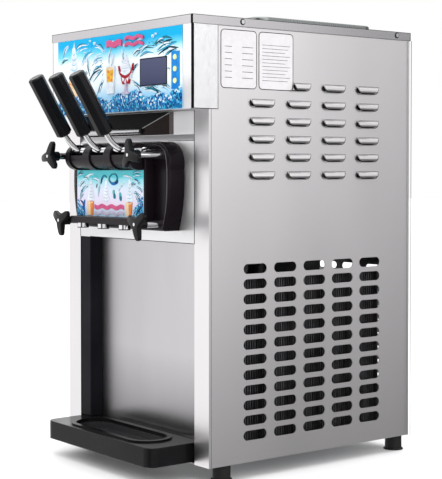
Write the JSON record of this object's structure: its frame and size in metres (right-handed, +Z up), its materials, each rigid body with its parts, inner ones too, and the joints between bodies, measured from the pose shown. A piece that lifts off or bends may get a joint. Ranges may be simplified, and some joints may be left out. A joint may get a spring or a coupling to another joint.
{
  "type": "soft serve machine",
  "caption": "Countertop soft serve machine: steel cabinet, black freezer door with draw handles and star knobs, lidded hoppers, drip tray and control header.",
  "frame": {"origin": "middle of the footprint, on the surface that the feet stand on", "axes": "+Z up, +Y to the back of the machine, +X to the right seen from the front"},
  "size_m": [0.4194, 0.5975, 0.7323],
  "materials": {
    "panel_steel": "vertical brushed",
    "frame_steel": "plain",
    "bare_steel": "turned",
    "lid_steel": "satin",
    "chrome_trim": "polished",
    "black_door": "satin moulded",
    "black_plastic": "fine grain",
    "black_gloss": "glossy moulded",
    "overlay": "printed film",
    "blue_keys": "printed film",
    "key_yellow": "smooth",
    "display_dark": "smooth",
    "plate_white": "film",
    "rubber_black": "matte",
    "board_green": "lacquered",
    "foam": "foamed",
    "food_plastic": "moulded",
    "fin_aluminium": "thin fins",
    "painted_black": "semi gloss",
    "cast_grey": "painted"
  },
  "bodies": {
    "cabinet": {"base_pan": "frame_steel", "inner_frame": "frame_steel", "side_panel_right": "panel_steel", "side_panel_left": "panel_steel", "rear_panel": "panel_steel", "lead_gland": "black_plastic", "top_cover": "panel_steel", "cover_screws": "bare_steel", "feet": "rubber_black", "side_plates": "plate_white", "header_shell": "panel_steel", "header_graphic": "overlay", "display_window": "display_dark", "keypad_strip": "blue_keys", "control_board": "board_green", "dispense_panel": "panel_steel", "splash_panel": "panel_steel", "drain_column": "black_plastic", "freezer_door": "black_door", "door_graphic": "overlay", "door_seals": "rubber_black", "outlet_nozzles": "chrome_trim", "pivot_pin": "bare_steel", "pivot_clip": "chrome_trim", "door_studs": "bare_steel", "hoppers": "bare_steel", "freezing_cylinders": "bare_steel", "cylinder_insulation": "foam", "gear_reducers": "cast_grey", "drive_motor": "painted_black", "compressor": "painted_black", "condenser": "fin_aluminium", "fan_shroud": "painted_black"},
    "button_1": {"button_1": "key_yellow"},
    "button_2": {"button_2": "key_yellow"},
    "button_3": {"button_3": "key_yellow"},
    "lever_left": {"draw_lever_left": "chrome_trim", "draw_grip_left": "black_plastic"},
    "valve_left": {"draw_valve_left": "food_plastic"},
    "lever_centre": {"draw_lever_centre": "chrome_trim", "draw_grip_centre": "black_plastic"},
    "valve_centre": {"draw_valve_centre": "food_plastic"},
    "lever_right": {"draw_lever_right": "chrome_trim", "draw_grip_right": "black_plastic"},
    "valve_right": {"draw_valve_right": "food_plastic"},
    "knob_upper_left": {"knob_upper_left": "black_plastic", "shank_upper_left": "chrome_trim"},
    "knob_upper_right": {"knob_upper_right": "black_plastic", "shank_upper_right": "chrome_trim"},
    "knob_lower_left": {"knob_lower_left": "black_plastic", "shank_lower_left": "chrome_trim"},
    "knob_lower_right": {"knob_lower_right": "black_plastic", "shank_lower_right": "chrome_trim"},
    "beater_left": {"beater_left": "food_plastic"},
    "beater_right": {"beater_right": "food_plastic"},
    "condenser_fan": {"condenser_fan": "black_plastic"},
    "hopper_lid_left": {"hopper_lid_left": "lid_steel"},
    "hopper_lid_right": {"hopper_lid_right": "lid_steel"},
    "drip_tray": {"drip_tray": "black_gloss", "tray_insert": "black_gloss"}
  },
  "joints": [
    {"name": "button_1_press", "type": "slide", "parent": "cabinet", "child": "button_1", "axis": [0, 1, 0], "range_m": [0, 0.0012], "stiffness_N_per_m": 700, "springref_m": -0.0008},
    {"name": "button_2_press", "type": "slide", "parent": "cabinet", "child": "button_2", "axis": [0, 1, 0], "range_m": [0, 0.0012], "stiffness_N_per_m": 700, "springref_m": -0.0008},
    {"name": "button_3_press", "type": "slide", "parent": "cabinet", "child": "button_3", "axis": [0, 1, 0], "range_m": [0, 0.0012], "stiffness_N_per_m": 700, "springref_m": -0.0008},
    {"name": "lever_left_pull", "type": "hinge", "parent": "cabinet", "child": "lever_left", "pos_m": [-0.062, -0.20323, 0.5178], "axis": [1, 0, 0], "range_deg": [0, 38]},
    {"name": "valve_left_lift", "type": "slide", "parent": "cabinet", "child": "valve_left", "axis": [0, 0, 1], "range_m": [0, 0.0176]},
    {"name": "lever_centre_pull", "type": "hinge", "parent": "cabinet", "child": "lever_centre", "pos_m": [0, -0.20323, 0.5178], "axis": [1, 0, 0], "range_deg": [0, 38]},
    {"name": "valve_centre_lift", "type": "slide", "parent": "cabinet", "child": "valve_centre", "axis": [0, 0, 1], "range_m": [0, 0.0176]},
    {"name": "lever_right_pull", "type": "hinge", "parent": "cabinet", "child": "lever_right", "pos_m": [0.062, -0.20323, 0.5178], "axis": [1, 0, 0], "range_deg": [0, 38]},
    {"name": "valve_right_lift", "type": "slide", "parent": "cabinet", "child": "valve_right", "axis": [0, 0, 1], "range_m": [0, 0.0176]},
    {"name": "knob_upper_left_turn", "type": "hinge", "parent": "cabinet", "child": "knob_upper_left", "pos_m": [-0.1205, -0.23323, 0.5097], "axis": [0, 1, 0], "continuous": true},
    {"name": "knob_upper_right_turn", "type": "hinge", "parent": "cabinet", "child": "knob_upper_right", "pos_m": [0.1205, -0.23323, 0.5097], "axis": [0, 1, 0], "continuous": true},
    {"name": "knob_lower_left_turn", "type": "hinge", "parent": "cabinet", "child": "knob_lower_left", "pos_m": [-0.1135, -0.21624, 0.4018], "axis": [0, 1, 0], "continuous": true},
    {"name": "knob_lower_right_turn", "type": "hinge", "parent": "cabinet", "child": "knob_lower_right", "pos_m": [0.1135, -0.21624, 0.4018], "axis": [0, 1, 0], "continuous": true},
    {"name": "beater_left_spin", "type": "hinge", "parent": "cabinet", "child": "beater_left", "pos_m": [-0.062, -0.03923, 0.46], "axis": [0, 1, 0], "continuous": true},
    {"name": "beater_right_spin", "type": "hinge", "parent": "cabinet", "child": "beater_right", "pos_m": [0.062, -0.03923, 0.46], "axis": [0, 1, 0], "continuous": true},
    {"name": "condenser_fan_spin", "type": "hinge", "parent": "cabinet", "child": "condenser_fan", "pos_m": [0.118, 0.07977, 0.176], "axis": [1, 0, 0], "continuous": true},
    {"name": "hopper_lid_left_lift", "type": "slide", "parent": "cabinet", "child": "hopper_lid_left", "axis": [0, 0, 1], "range_m": [0, 0.15]},
    {"name": "hopper_lid_right_lift", "type": "slide", "parent": "cabinet", "child": "hopper_lid_right", "axis": [0, 0, 1], "range_m": [0, 0.15]},
    {"name": "drip_tray_slide", "type": "slide", "parent": "cabinet", "child": "drip_tray", "axis": [0, -1, 0], "range_m": [0, 0.12]}
  ],
  "couplings": [
    {"joint": "valve_left_lift", "follows": "lever_left_pull", "m_per_rad": 0.0262},
    {"joint": "valve_centre_lift", "follows": "lever_centre_pull", "m_per_rad": 0.0262},
    {"joint": "valve_right_lift", "follows": "lever_right_pull", "m_per_rad": 0.0262},
    {"joint": "beater_right_spin", "follows": "beater_left_spin", "ratio": 1}
  ]
}
